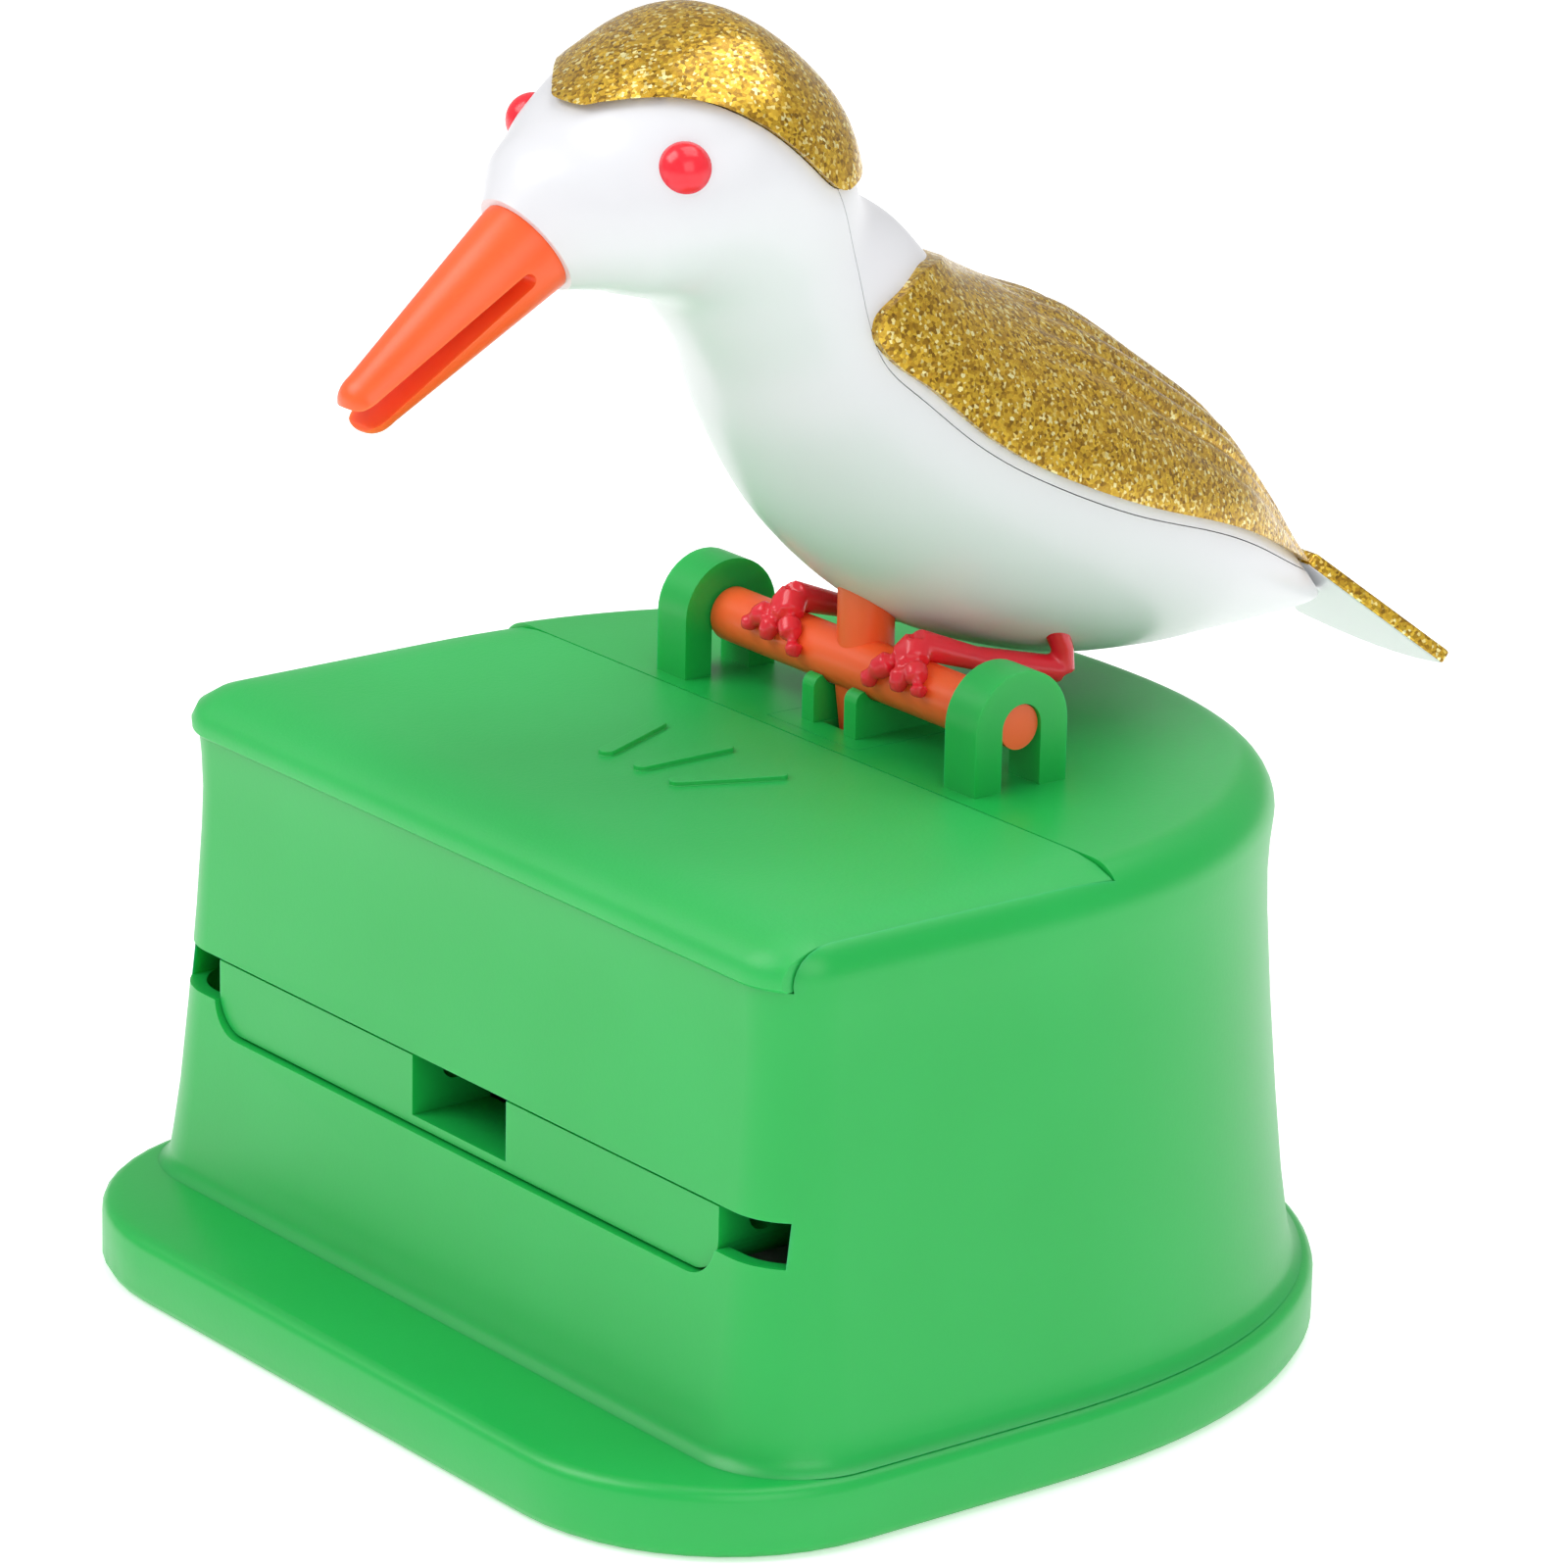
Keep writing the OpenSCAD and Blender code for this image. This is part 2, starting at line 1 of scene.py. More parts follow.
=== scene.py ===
from math import sin, cos, pi, radians, exp
import bpy
import bmesh
from mathutils import Vector, Matrix
from mathutils.bvhtree import BVHTree


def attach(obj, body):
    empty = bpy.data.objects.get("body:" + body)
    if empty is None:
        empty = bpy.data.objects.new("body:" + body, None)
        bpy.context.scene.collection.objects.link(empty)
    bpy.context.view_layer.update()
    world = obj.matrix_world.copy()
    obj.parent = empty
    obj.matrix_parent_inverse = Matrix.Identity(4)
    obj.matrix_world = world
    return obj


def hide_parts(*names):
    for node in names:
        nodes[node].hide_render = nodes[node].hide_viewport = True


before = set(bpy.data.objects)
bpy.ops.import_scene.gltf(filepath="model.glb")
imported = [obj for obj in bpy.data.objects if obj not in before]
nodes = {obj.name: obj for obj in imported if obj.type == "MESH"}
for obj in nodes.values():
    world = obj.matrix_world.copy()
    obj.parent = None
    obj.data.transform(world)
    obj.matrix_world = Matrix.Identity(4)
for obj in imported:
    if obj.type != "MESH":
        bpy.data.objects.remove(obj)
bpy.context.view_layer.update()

MM = 0.001

# --- Camera -----------------------------------------------------------------
# A long lens from the front right, a little above the box, with a slight roll.
CAMERA_AZIMUTH, CAMERA_ELEVATION, CAMERA_ROLL = 52.156, 17.997, 1.133
CAMERA_AT_MM = (393.8, -304.8, 199.2)
az, el, roll = map(radians, (CAMERA_AZIMUTH, CAMERA_ELEVATION, CAMERA_ROLL))
back = Vector((sin(az) * cos(el), -cos(az) * cos(el), sin(el)))
level = Vector((cos(az), sin(az), 0))
upright = back.cross(level)
across = cos(roll) * level + sin(roll) * upright
upward = -sin(roll) * level + cos(roll) * upright
camera = bpy.data.objects.new("camera", bpy.data.cameras.new("camera"))
bpy.context.scene.collection.objects.link(camera)
camera.data.lens = 175.55
camera.data.sensor_width = 36
camera.data.clip_start, camera.data.clip_end = 0.01, 20
camera.matrix_world = Matrix.Translation(Vector(CAMERA_AT_MM) * MM) @ Matrix(
    (across, upward, back)).transposed().to_4x4()
bpy.context.scene.camera = camera
bpy.context.scene.view_settings.view_transform = "Standard"

# --- Floor and soft studio light --------------------------------------------
# A seamless white sweep, softly lit from within, under three big soft lamps.


def linear(colour):
    """sRGB hex to the linear colour that shaders take."""
    parts = [int(colour[i:i + 2], 16) / 255 for i in (1, 3, 5)]
    return [p / 12.92 if p <= 0.04045 else ((p + 0.055) / 1.055) ** 2.4 for p in parts] + [1]


def add(material, kind, links=(), **settings):
    """Adds one shader node, sets its sockets and properties, and links it."""
    made = material.node_tree.nodes.new(kind)
    for name, value in settings.items():
        socket = made.inputs.get(name.replace("_", " "))
        if socket is not None:
            socket.default_value = value
        else:
            setattr(made, name, value)
    for name, source in dict(links).items():
        material.node_tree.links.new(source, made.inputs[name])
    return made


def plastic(name, colour, roughness=0.35, grain_mm=0.0, grain_depth=0.0, subsurface=0.0,
            radius_mm=(1, 1, 1), tint=None):
    """Injection-moulded plastic: slight colour drift, a moulding texture and soft light inside."""
    material = bpy.data.materials.new(name)
    material.use_nodes = True
    shader = material.node_tree.nodes["Principled BSDF"]
    shader.inputs["Roughness"].default_value = roughness
    shader.inputs["IOR"].default_value = 1.49
    shader.inputs["Subsurface Weight"].default_value = subsurface
    shader.inputs["Subsurface Radius"].default_value = [r * MM for r in radius_mm]
    shader.inputs["Subsurface Scale"].default_value = 1.0
    place = add(material, "ShaderNodeTexCoord")
    drift = add(material, "ShaderNodeTexNoise", {"Vector": place.outputs["Object"]}, Scale=1 / (14 * MM))
    ramp = add(material, "ShaderNodeMix", {"Factor": drift.outputs["Fac"]}, data_type="RGBA")
    # sockets 6, 7 and output 2 are the colour ones of a mix node
    ramp.inputs[6].default_value = linear(colour)
    ramp.inputs[7].default_value = linear(tint or colour)
    material.node_tree.links.new(ramp.outputs[2], shader.inputs["Base Color"])
    if grain_depth:
        grain = add(material, "ShaderNodeTexNoise", {"Vector": place.outputs["Object"]},
                    Scale=1 / (grain_mm * MM), Detail=3.0)
        bump = add(material, "ShaderNodeBump", {"Height": grain.outputs["Fac"]}, Distance=grain_depth * MM,
                   Strength=0.6)
        material.node_tree.links.new(bump.outputs["Normal"], shader.inputs["Normal"])
    return material


sweep = bpy.data.meshes.new("sweep")
sweep.from_pydata([(-4, -4, 0), (4, -4, 0), (4, 4, 0), (-4, 4, 0)], [], [(0, 1, 2, 3)])
floor = bpy.data.objects.new("floor", sweep)
bpy.context.scene.collection.objects.link(floor)
floor.data.materials.append(plastic("white_sweep", "#F6F6F6", roughness=0.9))
floor_shader = floor.data.materials[0].node_tree.nodes["Principled BSDF"]
floor_shader.inputs["Emission Color"].default_value = (1, 1, 1, 1)
floor_shader.inputs["Emission Strength"].default_value = 0.4

world = bpy.data.worlds.new("studio")
bpy.context.scene.world = world
world.use_nodes = True
world.node_tree.nodes["Background"].inputs["Color"].default_value = (1, 1, 1, 1)
world.node_tree.nodes["Background"].inputs["Strength"].default_value = 0.45
for name, place, size, power in (
        ("key_lamp", (-0.35, -0.55, 0.75), 0.6, 4.6), ("fill_lamp", (0.75, -0.25, 0.45), 0.6, 2.2),
        ("top_lamp", (0.05, 0.25, 0.9), 0.7, 3.6)):
    lamp = bpy.data.lights.new(name, "AREA")
    lamp.size, lamp.energy = size, power
    holder = bpy.data.objects.new(name, lamp)
    bpy.context.scene.collection.objects.link(holder)
    holder.location = place
    holder.rotation_euler = (Vector((0, 0, 0.04)) - Vector(place)).to_track_quat("-Z", "Y").to_euler()

# --- Box: hopper housing ----------------------------------------------------
# One green polypropylene moulding with drafted walls, a soft waist under the
# deck rim, a slot for the tray and two posts that hold the perch.
# Polypropylene, slightly see-through: a soft green that glows a little inside thin edges.
# The lid's top is spark-eroded in the mould, so it is duller and shows a fine grain.
green = plastic("green_polypropylene", "#12A845", 0.36, 0.35, 0.012, 0.22, (0.8, 3.0, 1.0), "#1BB04E")
green_grained = plastic("green_grained_top", "#1DAD4C", 0.44, 0.28, 0.03, 0.2, (0.8, 3.0, 1.0), "#2AB557")
DECK_Z, DECK_T, WALL, FLARE = 40.5, 1.8, 1.6, 2.4
TOP_ROUND, RIM_OUT = 3, 0.3
POST_IN_X, POST_OUT_X, POST_R, POST_FOOT_Z = 14.5, 17.8, 3.95, 39.5
PANEL_HALF_W, PANEL_LOW_Z, PANEL_CORNER = 29.2, 16.25, 2.9
SLOT_HALF_W, SLOT_LOW_Z, SLOT_TOP_Z = 34.5, 18.5, 21.6
SIDE_END_Y, BOX_FRONT_Y, BOX_BACK_Y, BOX_HALF_W = -5.5, -25.4, 32.8, 35.0
AXIS_Y, AXIS_Z, ROD_R, SLOT_R = 7.4, 44.8, 1.95, 1.66


def outline(half_w, front, corner, back_y, power=2.25):
    """Plan outline: straight front and sides, rounded front corners, full curved back."""
    right = [(0, front)]
    for i in range(13):
        t = radians(-90 + 7.5 * i)
        right.append((half_w - corner + corner * cos(t), front + corner + corner * sin(t)))
    for i in range(31):
        t = radians(3 * i)
        right.append((half_w * max(cos(t), 0) ** (2 / power),
                      SIDE_END_Y + (back_y - SIDE_END_Y) * sin(t) ** (2 / power)))
    return right + [(-x, y) for x, y in right[-2:0:-1]]


def box_ring(out, z):
    """The box outline grown by out, at one height."""
    plan = outline(BOX_HALF_W + out, BOX_FRONT_Y - out, 4.3 + max(out, -3.2), BOX_BACK_Y + out)
    return [(x, y, z) for x, y in plan]


def piece_from(name, points, faces):
    """New mesh object from millimetre points."""
    mesh = bpy.data.meshes.new(name)
    mesh.from_pydata([Vector(p) * MM for p in points], [], faces)
    made = bpy.data.objects.new(name, mesh)
    bpy.context.scene.collection.objects.link(made)
    work = bmesh.new()
    work.from_mesh(mesh)
    bmesh.ops.remove_doubles(work, verts=work.verts, dist=1e-7)
    bmesh.ops.recalc_face_normals(work, faces=work.faces)
    work.to_mesh(mesh)
    work.free()
    return made


def loft(name, rings):
    """Closed skin over rings of equal length."""
    n = len(rings[0])
    faces = [(i * n + k, i * n + (k + 1) % n, (i + 1) * n + (k + 1) % n, (i + 1) * n + k)
             for i in range(len(rings) - 1) for k in range(n)]
    faces += [tuple(range(n))[::-1], tuple(range((len(rings) - 1) * n, len(rings) * n))]
    return piece_from(name, [p for ring in rings for p in ring], faces)


def block(low, high, name="cutter"):
    """A box between two corners."""
    (a, b, c), (d, e, f) = low, high
    return loft(name, [[(a, b, z), (d, b, z), (d, e, z), (a, e, z)] for z in (c, f)])


def prism_x(shape, low, high, name="cutter"):
    """A Y-Z outline pulled along X."""
    return loft(name, [[(x, y, z) for y, z in shape] for x in (low, high)])


def prism_y(shape, low, high, name="cutter"):
    """An X-Z outline pulled along Y."""
    return loft(name, [[(x, y, z) for x, z in shape] for y in (low, high)])


def carve(target, cutter, how="DIFFERENCE"):
    """Applies one boolean and drops the cutter."""
    step = target.modifiers.new("carve", "BOOLEAN")
    step.object, step.operation, step.solver = cutter, how, "EXACT"
    bpy.context.view_layer.update()
    solved = bpy.data.meshes.new_from_object(target.evaluated_get(bpy.context.evaluated_depsgraph_get()))
    target.modifiers.remove(step)
    target.data = solved
    bpy.data.objects.remove(cutter)
    return target


def finish_piece(target, materials, body, replaces, edge_mm=0.0, angle=35):
    """Rounds the moulded edges, smooths the faces and mounts the piece on its body."""
    work = bmesh.new()
    work.from_mesh(target.data)
    bmesh.ops.dissolve_degenerate(work, edges=work.edges, dist=1e-6)
    bmesh.ops.remove_doubles(work, verts=work.verts, dist=2e-6)
    work.to_mesh(target.data)
    work.free()
    target.data.materials.clear()
    for material in materials:
        target.data.materials.append(material)
    for polygon in target.data.polygons:
        polygon.use_smooth = True
    if edge_mm:
        bevel = target.modifiers.new("edge", "BEVEL")
        bevel.width, bevel.segments = edge_mm * MM, 2
        bevel.limit_method, bevel.angle_limit = "ANGLE", radians(angle)
        bevel.harden_normals = True
        bevel.use_clamp_overlap = True
    else:
        target.data.set_sharp_from_angle(angle=radians(angle))
    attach(target, body)
    if replaces:
        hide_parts(*replaces)


# height and how far the wall stands out there
WALL_PROFILE = [(5.0, 3.3), (5.35, 2.75), (6.0, 2.45), (7.5, 2.2), (11, 1.7), (17, 1.1), (24, 0.5),
                (30, 0.1), (33, 0.0), (35.5, 0.1), (37.5, 0.3)]
rings = [box_ring(out, z) for z, out in WALL_PROFILE]
for degrees in range(10, 91, 10):
    t = radians(degrees)
    rings.append(box_ring(RIM_OUT - TOP_ROUND + TOP_ROUND * cos(t), DECK_Z - TOP_ROUND + TOP_ROUND * sin(t)))
housing = loft("housing_shell", rings)
carve(housing, loft("cutter", [box_ring(FLARE - WALL, 4), box_ring(-WALL, DECK_Z - DECK_T)]))


def arch_shape(radius, foot_z):
    """Y-Z outline of a post or a slot with a round top on the perch axis."""
    turns = [radians(a) for a in range(0, 181, 9)]
    round_top = [(AXIS_Y + radius * cos(t), AXIS_Z + radius * sin(t)) for t in turns]
    return [(AXIS_Y + radius, foot_z)] + round_top + [(AXIS_Y - radius, foot_z)]


for side in (-1, 1):
    x_in, x_out = sorted((side * POST_IN_X, side * POST_OUT_X))
    carve(housing, prism_x(arch_shape(POST_R, POST_FOOT_Z), x_in, x_out), "UNION")
    carve(housing, prism_x(arch_shape(SLOT_R, DECK_Z), x_in - 1, x_out + 1))
LID_REAR_Y, LID_RIGHT_X, LID_LOW_Z = 2.1, 33.9, 37.0
carve(housing, block((-50, -50, LID_LOW_Z), (LID_RIGHT_X + 0.15, LID_REAR_Y + 0.1, 60)))
# opening in the deck for the perch cradle
carve(housing, block((-5, 3.4, DECK_Z - 2.8), (5, 20, 41)))


def panel_shape(half_w, low, top, corner):
    """X-Z outline of the tray's front panel: square above, rounded below."""
    arc = [(half_w - corner + corner * sin(t), low + corner - corner * cos(t))
           for t in [radians(a) for a in range(0, 91, 9)]]
    return [(half_w, top), (-half_w, top)] + [(-x, z) for x, z in arc[::-1]] + arc


carve(housing, prism_y(panel_shape(PANEL_HALF_W, PANEL_LOW_Z, SLOT_TOP_Z, PANEL_CORNER), -40, -20))
carve(housing, block((-SLOT_HALF_W, -40, SLOT_LOW_Z), (SLOT_HALF_W, -20, SLOT_TOP_Z)))
finish_piece(housing, [green], "box", ["housing"], 0.28)

# --- Base plate -------------------------------------------------------------
# A thick green foot wider than the box, with a rounded rim all round.
BASE_HALF_W, BASE_FRONT_Y, BASE_CORNER_R, BASE_BACK_Y = 38.9, -37, 16.3, 37
# height and how far the edge stands out there
BASE_PROFILE = [(0, -0.9), (0.3, -0.35), (0.9, 0), (4.1, 0), (4.55, -0.14), (4.86, -0.48), (5.0, -1.0)]
base = loft("base_foot", [
    [(x, y, z) for x, y in outline(BASE_HALF_W + out, BASE_FRONT_Y - out, BASE_CORNER_R + out, BASE_BACK_Y + out)]
    for z, out in BASE_PROFILE])
finish_piece(base, [green], "box", ["base_plate"])

# --- Refill lid -------------------------------------------------------------
# The sliding lid: grained top, a soft roll along the front that stands a
# little proud of the box, and three plain moulded leaf strokes.
LID_PROFILE = [(37.05, 0.45), (37.3, 0.72), (38.0, 0.78), (38.9, 0.35), (39.7, -0.9), (40.2, -2.4),
               (40.45, -4.2), (40.5, -5.6)]
lid = loft("lid_slide", [box_ring(out, z) for z, out in LID_PROFILE])
carve(lid, block((-50, -50, 30), (LID_RIGHT_X, LID_REAR_Y, 60)), "INTERSECT")
carve(lid, block((-33.3, -23.7, 30), (50, 50, 38.5)))
STROKE_R, STROKE_LEN, STROKE_Y = 0.6, 7, -11
for i in (-1, 0, 1):
    lean = radians(-24 * i)
    stroke = []
    for k in range(24):
        a = radians(15 * k)
        x, y = STROKE_R * cos(a), STROKE_R * sin(a) + (STROKE_LEN if sin(a) > 0 else 0)
        stroke.append((4 * i + x * cos(lean) - y * sin(lean),
                       STROKE_Y + x * sin(lean) + y * cos(lean)))
    carve(lid, loft("cutter", [[(x, y, z) for x, y in stroke] for z in (40.2, 40.85)]), "UNION")
finish_piece(lid, [green_grained], "lid", ["refill_lid"], 0.2)

# --- Tray, ramp and perch cradle --------------------------------------------
# Green mouldings that show through the slot and on the deck.
for name in ("pick_tray", "hopper_ramp", "perch_cradle"):
    nodes[name].data.materials.clear()
    nodes[name].data.materials.append(green)

# --- Works inside the box ---------------------------------------------------
# White acetal guide and idler, with zinc-plated screws, pin and spring.
acetal = plastic("white_acetal", "#E9E9E4", 0.42, 0.3, 0.006, 0.1, (1, 1, 1), "#DFDFDA")
plated = bpy.data.materials.new("zinc_plated_steel")
plated.use_nodes = True
plated_shader = plated.node_tree.nodes["Principled BSDF"]
plated_shader.inputs["Metallic"].default_value = 1.0
plated_shader.inputs["Base Color"].default_value = linear("#B9BCC0")
plated_place = add(plated, "ShaderNodeTexCoord")
plated_haze = add(plated, "ShaderNodeTexNoise", {"Vector": plated_place.outputs["Object"]},
                  Scale=1 / (0.4 * MM))
plated_rough = add(plated, "ShaderNodeMapRange", {"Value": plated_haze.outputs["Fac"]},
                   To_Min=0.2, To_Max=0.36)
plated.node_tree.links.new(plated_rough.outputs["Result"], plated_shader.inputs["Roughness"])
for name in ("tray_guide", "idler_gear"):
    nodes[name].data.materials.clear()
    nodes[name].data.materials.append(acetal)
for name in ("base_screws", "guide_screws", "return_spring", "idler_pin"):
    nodes[name].data.materials.clear()
    nodes[name].data.materials.append(plated)

# --- Perch rod and beak -----------------------------------------------------
# Orange polypropylene; the beak is two springy tines with a slit between.
orange = plastic("orange_polypropylene", "#FB5A22", 0.34, 0.3, 0.006, 0.25, (3.0, 1.2, 0.6), "#FF6A34")
nodes["perch_rod"].data.materials.clear()
nodes["perch_rod"].data.materials.append(orange)
BEAK_PITCH = radians(35)
beak_frame = Matrix.Translation((0, -21, 78.2)) @ Matrix.Rotation(radians(90) + BEAK_PITCH, 4, "X")


def beak_ring(radius, along):
    """A circle round the beak's axis, at one distance from its root."""
    return [(beak_frame @ Vector((radius * cos(radians(a)), radius * sin(radians(a)), along)))[:]
            for a in range(0, 360, 9)]


# the cone ends in a blunt round, and each tine in its own small round
ROOT_R, TIP_R, TIP_FROM = 3.55, 2.1, 14.9
TINE_R, TINE_MID, TINE_END = 0.74, 1.48, 16.25
SLIT_R, SLIT_FROM = 0.55, 2.6
tip = [(TIP_R * cos(t) ** 0.8, TIP_FROM + TIP_R * sin(t) ** 0.8)
       for t in [radians(a) for a in range(0, 85, 7)]]
beak = loft("beak_tines", [beak_ring(3.4, -2.4), beak_ring(3.5, 0)] + [
    beak_ring(ROOT_R + (TIP_R - ROOT_R) * z / TIP_FROM, z) for z in (0.3, 4, 8, 12)] + [
    beak_ring(r, z) for r, z in tip])
slit = [(SLIT_R * cos(t), SLIT_FROM + SLIT_R * sin(t)) for t in [radians(a) for a in range(180, 361, 15)]] + [
    (0.8, 18.5), (-0.8, 18.5)]
fingers = [(-4.5, -3), (-4.5, 11)]
for middle in (-TINE_MID, TINE_MID):
    fingers += [(middle - TINE_R * cos(t), TINE_END + TINE_R * sin(t))
                for t in [radians(a) for a in range(0, 181, 15)]]
    if middle < 0:
        fingers += [(-0.74, 15), (0.74, 15)]
fingers += [(4.5, 11), (4.5, -3)]
for shape, how in ((fingers, "INTERSECT"), (slit, "DIFFERENCE")):
    carve(beak, loft("cutter", [[(beak_frame @ Vector((x, y, z)))[:] for y, z in shape] for x in (-8, 8)]), how)
finish_piece(beak, [orange], "bird", ["beak"], 0.22)

# --- Bird: white shell, gold crest, back cover with wings --------------------
# Thin ABS mouldings; crest and wings stand proud and carry glitter lacquer.
white = plastic("white_abs", "#DDDDE1", 0.3, 0.5, 0.004, 0.12, (1.6, 1.5, 1.4), "#E2E3E6")


def glitter_lacquer():
    """Gold flake in clear lacquer: each flake tilts its own way and catches the light alone."""
    material = bpy.data.materials.new("gold_glitter_lacquer")
    material.use_nodes = True
    shader = material.node_tree.nodes["Principled BSDF"]
    shader.inputs["Metallic"].default_value = 0.72
    shader.inputs["Coat Weight"].default_value = 0.35
    shader.inputs["Coat Roughness"].default_value = 0.16
    place = add(material, "ShaderNodeTexCoord")
    # real flakes are about 0.1 mm; drawn at 0.24 mm so that they show
    flakes = add(material, "ShaderNodeTexVoronoi", {"Vector": place.outputs["Object"]},
                 Scale=1 / (0.24 * MM))
    pick = add(material, "ShaderNodeSeparateColor", {"Color": flakes.outputs["Color"]})
    tone = add(material, "ShaderNodeValToRGB", {"Fac": pick.outputs["Red"]})
    stops = tone.color_ramp.elements
    stops[0].color, stops[1].color = linear("#86600C"), linear("#FFF6B4")
    stops.new(0.3).color = linear("#BC8F1D")
    stops.new(0.85).color = linear("#E6BE3A")
    material.node_tree.links.new(tone.outputs["Color"], shader.inputs["Base Color"])
    rough = add(material, "ShaderNodeMapRange", {"Value": pick.outputs["Green"]}, To_Min=0.16, To_Max=0.5)
    material.node_tree.links.new(rough.outputs["Result"], shader.inputs["Roughness"])
    tilt = add(material, "ShaderNodeBump", {"Height": pick.outputs["Blue"]},
               Strength=0.5, Distance=0.09 * MM)
    material.node_tree.links.new(tilt.outputs["Normal"], shader.inputs["Normal"])
    return material


gold = glitter_lacquer()
# Stations from the beak collar to the rump, in mm: lower contour y and z, upper contour y and z, half width
STATIONS = [
    (-18.8, 75, -23.3, 81.5, 4), (-17.6, 74.9, -21.6, 84.3, 6), (-16.2, 74.7, -19, 86, 7.8),
    (-14.9, 74.3, -16.4, 87.9, 9.4), (-13.4, 73.9, -12.2, 90.5, 10.6), (-11.6, 73.4, -6.4, 91.9, 11.4),
    (-9.8, 72.6, 0.1, 87.2, 11.2), (-8, 70.8, 3, 80.5, 10.2), (-5.6, 67.4, 7.2, 77.3, 10.6),
    (-2.9, 61.6, 10.8, 73.6, 12.3), (2, 54.2, 16.5, 70.6, 14), (9.5, 47.9, 22.1, 68.3, 14.8),
    (19, 44.3, 28.1, 64.3, 14.2), (27.2, 43.2, 34, 59.9, 12.4), (33.8, 43.1, 38.6, 54.7, 9.8),
    (39.8, 43, 42.7, 49.6, 6.8), (45.4, 43, 46.4, 45.5, 3.8), (49, 43.4, 48.6, 42.8, 0.8)]
LAST = len(STATIONS) - 1


def station(t):
    """Smooth blend between the stations."""
    i = int(t)
    f = t - i
    a, b, c, d = (STATIONS[max(0, min(LAST, i + k))] for k in (-1, 0, 1, 2))
    return [0.5 * (2 * q + (r - p) * f + (2 * p - 5 * q + 4 * r - s) * f * f + (3 * q - 3 * r + s - p) * f ** 3)
            for p, q, r, s in zip(a, b, c, d)]


def bird_skin(out=0.0, start=0.0, end=LAST, step=0.125, sides=96, ribs=0.0):
    """The bird's form grown by out; ribs adds the lengthwise feather grooves of the wings."""
    rings, t = [], start
    while t <= end + 1e-6:
        y0, z0, y1, z1, half_w = station(min(t, LAST - 1e-6))
        mid, half = Vector(((y0 + y1) / 2, (z0 + z1) / 2)), Vector(((y1 - y0) / 2, (z1 - z0) / 2))
        ring = []
        for k in range(sides):
            a = 2 * pi * k / sides
            from_top = min(a, 2 * pi - a) * 180 / pi
            grow = out
            if ribs and from_top < 64:
                fade = max(0, min(1, (t - 9.6) / 1.6)) * max(0, min(1, (64 - from_top) / 14))
                grow -= ribs * fade * exp(-(((from_top % 10.5) - 5.25) / 2.4) ** 2)
            k2 = (half.length + grow) / half.length
            ring.append(((half_w + grow) * sin(a),
                         mid.x + k2 * half.x * cos(a), mid.y + k2 * half.y * cos(a)))
        rings.append(ring)
        t += step
    return loft("bird_skin", rings)


BACK_EDGE = [(-4, 82.2), (-1.8, 77.5), (-0.6, 72.5), (0.6, 69.2), (3, 66.7), (7.1, 63.1), (12, 60.2),
             (19.2, 57), (27.7, 54.1), (33.2, 51.8), (40.9, 48), (50, 43.8)]
CREST_EDGE = [(-18.6, 88.6), (-18.5, 87.7), (-18, 87.4), (-17, 87.8), (-15.6, 88.2), (-14.1, 88.4), (-12.6, 88.2),
              (-11.3, 87.7), (-9.7, 86.7), (-8.2, 85.5), (-6.5, 84), (-5.1, 82.7), (-4.1, 82), (-3.2, 81.8)]
WING_EDGE = [(14.8, 72.2), (11, 73.9), (8.9, 74.6), (6.6, 75), (4.6, 75), (2, 74), (0.3, 73.1), (-0.3, 72.2),
             (-0.2, 71), (1, 69.4), (3.4, 67.5), (7.4, 63.9), (12.2, 61), (19.3, 57.9), (27.9, 54.9), (33.4, 52.6),
             (41.1, 48.8), (48, 45.4)]


def smooth(points, parts=6):
    """Smooth curve through a list of points."""
    made = []
    for i in range(len(points) - 1):
        a, b, c, d = (Vector(points[max(0, min(len(points) - 1, i + k))]) for k in (-1, 0, 1, 2))
        for j in range(parts):
            f = j / parts
            made.append(tuple(0.5 * (2 * b + (c - a) * f + (2 * a - 5 * b + 4 * c - d) * f * f
                                     + (3 * b - 3 * c + d - a) * f ** 3)))
    return made + [tuple(points[-1])]


def crest_zone(lift=0.0):
    """Everything above the crest's lower rim."""
    shape = [(y + lift / 2, z + lift) for y, z in smooth(CREST_EDGE)] + [(6, 83.4), (6, 100), (-18.6, 100)]
    return prism_x(shape, -20, 20)


def back_zone(lift=0.0):
    """Everything behind and above the back cover's seam."""
    shape = [(y + lift / 2, z + lift) for y, z in smooth(BACK_EDGE)] + [(60, 60), (40, 90), (-4, 90)]
    return prism_x(shape, -20, 20)


breast = bird_skin()
breast.name = "breast_shell"
carve(breast, crest_zone())
carve(breast, back_zone())
finish_piece(breast, [white], "bird", ["body_shell"], 0.1, 40)

nape = bird_skin()
nape.name = "nape_shell"
carve(nape, back_zone(0.06), "INTERSECT")
carve(nape, crest_zone())
finish_piece(nape, [white], "bird", [], 0.1, 40)

wings = bird_skin(0.74, 6, 16.5, 0.1, 216, 0.5)
wings.name = "wing_cover"
carve(wings, prism_x(smooth(WING_EDGE) + [(60, 50), (60, 78), (14.8, 78)], -20, 20), "INTERSECT")
finish_piece(wings, [gold], "bird", ["back_cover"], 0.25, 40)

crest = bird_skin(0.66)
crest.name = "crest_shell"
carve(crest, crest_zone(0.06), "INTERSECT")
finish_piece(crest, [gold], "bird", ["crest_cap"], 0.4, 40)

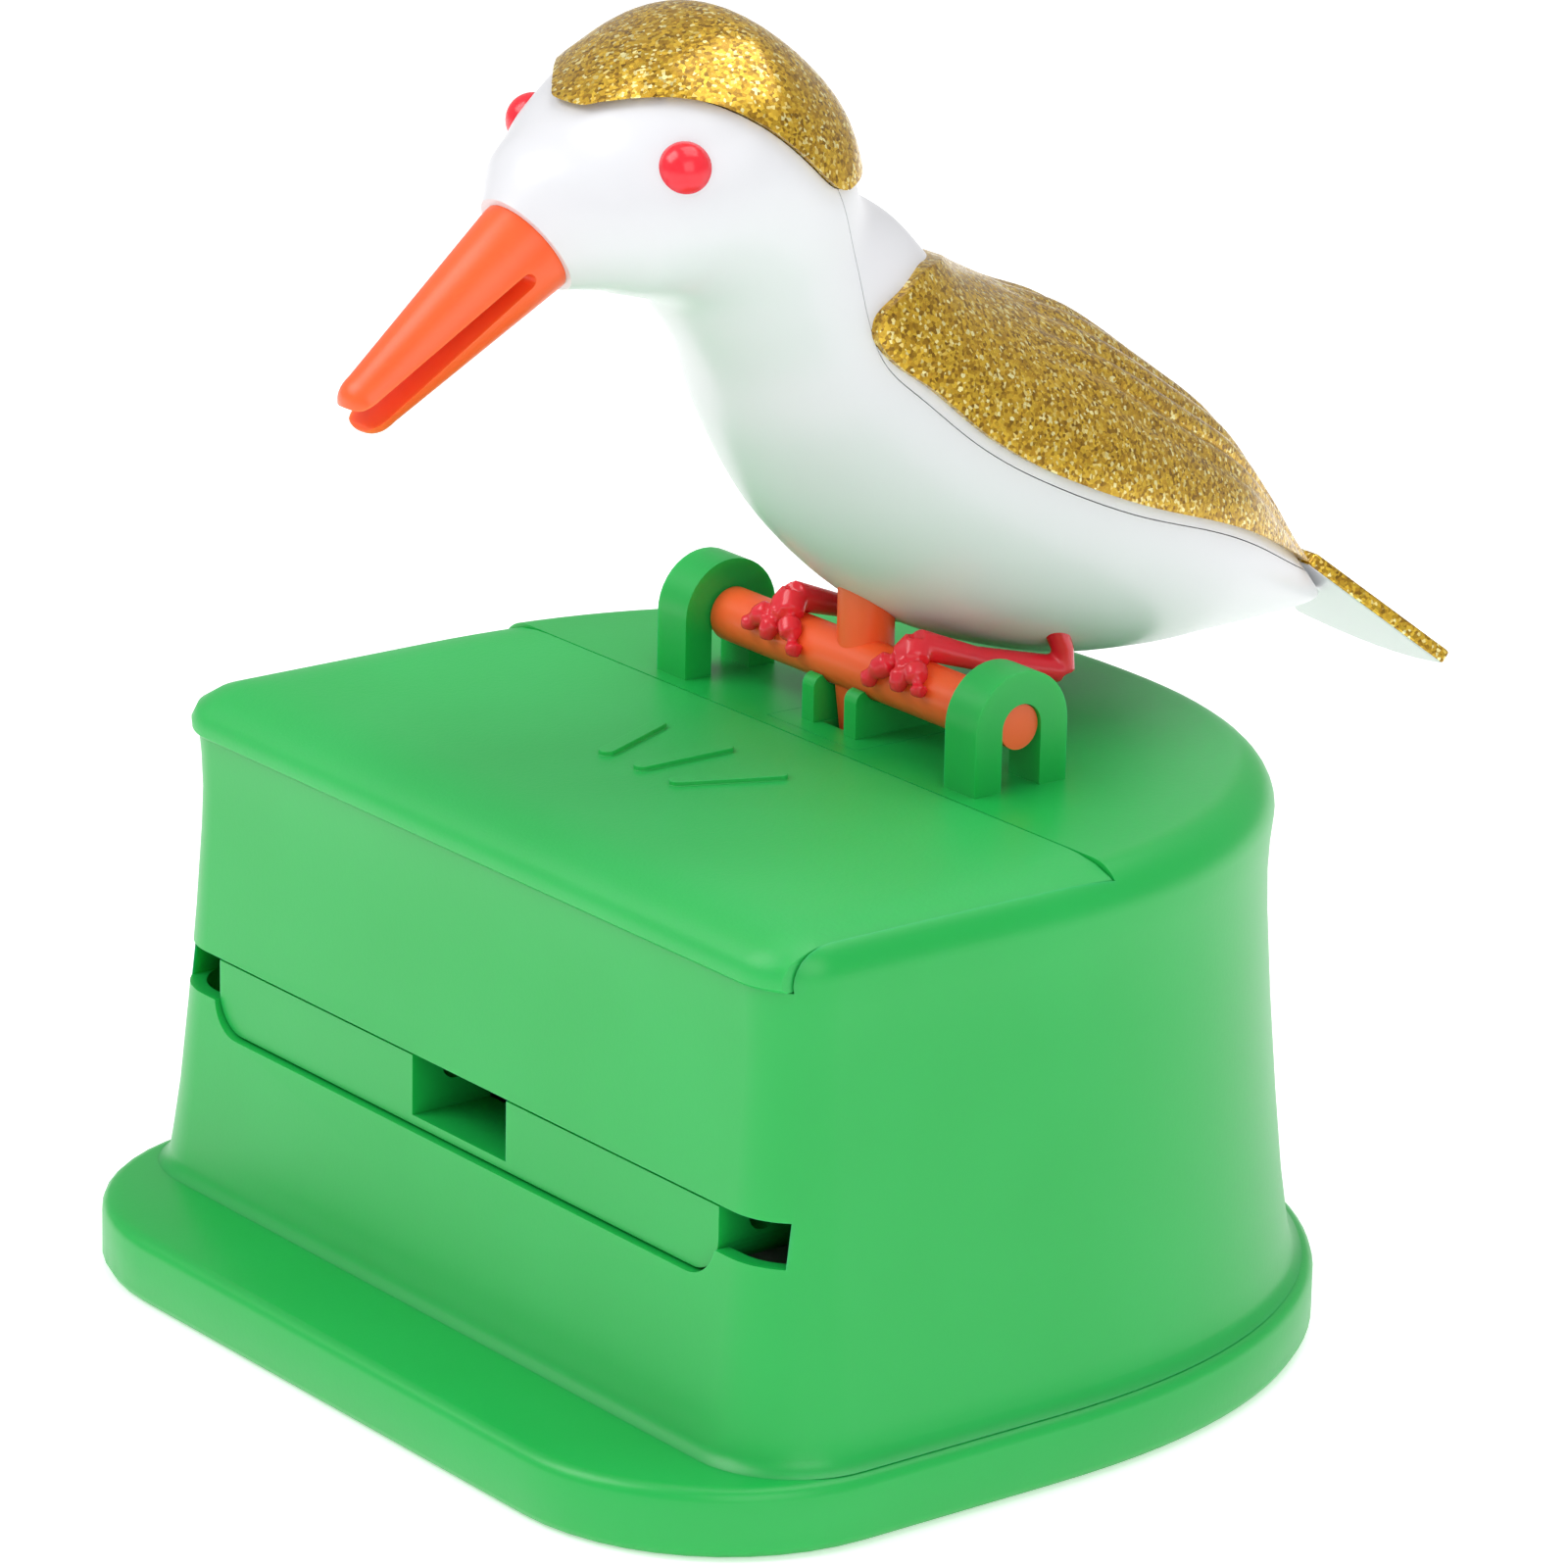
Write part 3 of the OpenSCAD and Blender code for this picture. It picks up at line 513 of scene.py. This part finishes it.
# --- Tail fan ---------------------------------------------------------------
# A thin fan moulded with the back; lacquered on top, bare white underneath.
tail_frame = Matrix.Translation((0, 47, 46)) @ Matrix.Rotation(radians(-41), 4, "X")
FAN_R, FAN_LEN = 23.5, 12
fan = [(-3, -1), (3, -1)] + [
    (FAN_R * sin(t), FAN_LEN - FAN_R * (1 - cos(t))) for t in [radians(a) for a in range(20, -21, -4)]]
tail = loft("tail_plate", [[(tail_frame @ Vector((x, y, z)))[:] for x, y in fan] for z in (-0.6, 0.5)])
finish_piece(tail, [white, gold], "bird", ["tail_fan"], 0.25)
up_of_tail = (tail_frame.to_3x3() @ Vector((0, 0, 1))).normalized()
for polygon in tail.data.polygons:
    polygon.material_index = 0 if polygon.normal.dot(up_of_tail) < -0.5 else 1

# --- Eyes and legs ----------------------------------------------------------
# Red see-through beads and feet; each toe wraps the front of the perch rod.
red = plastic("red_polystyrene", "#EE2434", 0.2, 0.4, 0.003, 0.4, (3.2, 0.8, 0.8), "#F23140")
for name in ("eye_right", "eye_left"):
    nodes[name].data.materials.clear()
    nodes[name].data.materials.append(red)


def limb(points, radii):
    """Tapered round rod through a list of points, with closed ends."""
    rings = []
    for i, p in enumerate(points):
        ahead = Vector(points[min(i + 1, len(points) - 1)]) - Vector(points[max(i - 1, 0)])
        side = ahead.orthogonal().normalized()
        other = ahead.normalized().cross(side)
        rings.append([(Vector(p) + radii[i] * (cos(a) * side + sin(a) * other))[:]
                      for a in [2 * pi * k / 12 for k in range(12)]])
    return loft("limb", rings)


HUB_X, HEEL_X = 6.9, 8.6


def toe(side, x_tip, reach):
    """Centre line of one toe from the top of the rod round its front."""
    points = [(HUB_X * side, 7, 48)]
    for i in range(1, 6):
        a = radians(12 + (reach - 12) * i / 5)
        r = ROD_R + 0.5
        x = HUB_X + (x_tip - HUB_X) * min(1, i / 4)
        points.append((side * x, AXIS_Y - r * sin(a), AXIS_Z + r * cos(a)))
    return points


for side, label in ((1, "right"), (-1, "left")):
    leg = limb([(HUB_X * side, 7, 48), (7.6 * side, 11.5, 46.4), (HEEL_X * side, 18.2, 44.7)], [1.1, 0.85, 0.95])
    leg.name = "foot_" + label
    extra = [limb([(HEEL_X * side, 18.4, 44.6), (8.8 * side, 18.3, 46.2), (8.8 * side, 17.4, 48.2)],
                  [0.95, 0.8, 0.9])]
    for x_tip, reach in ((4.2, 94), (7.3, 84), (9.5, 80)):
        extra.append(limb(toe(side, x_tip, reach), [1.05, 1.0, 0.9, 0.8, 0.7, 0.45]))
    together = bmesh.new()
    together.from_mesh(leg.data)
    for part in extra:
        together.from_mesh(part.data)
        bpy.data.objects.remove(part)
    together.to_mesh(leg.data)
    together.free()
    remesh = leg.modifiers.new("melt", "REMESH")
    remesh.mode, remesh.voxel_size = "VOXEL", 0.16 * MM
    ease = leg.modifiers.new("ease", "SMOOTH")
    ease.iterations = 4
    bpy.context.view_layer.update()
    leg.data = bpy.data.meshes.new_from_object(leg.evaluated_get(bpy.context.evaluated_depsgraph_get()))
    leg.modifiers.clear()
    finish_piece(leg, [red], "bird", ["leg_" + label])
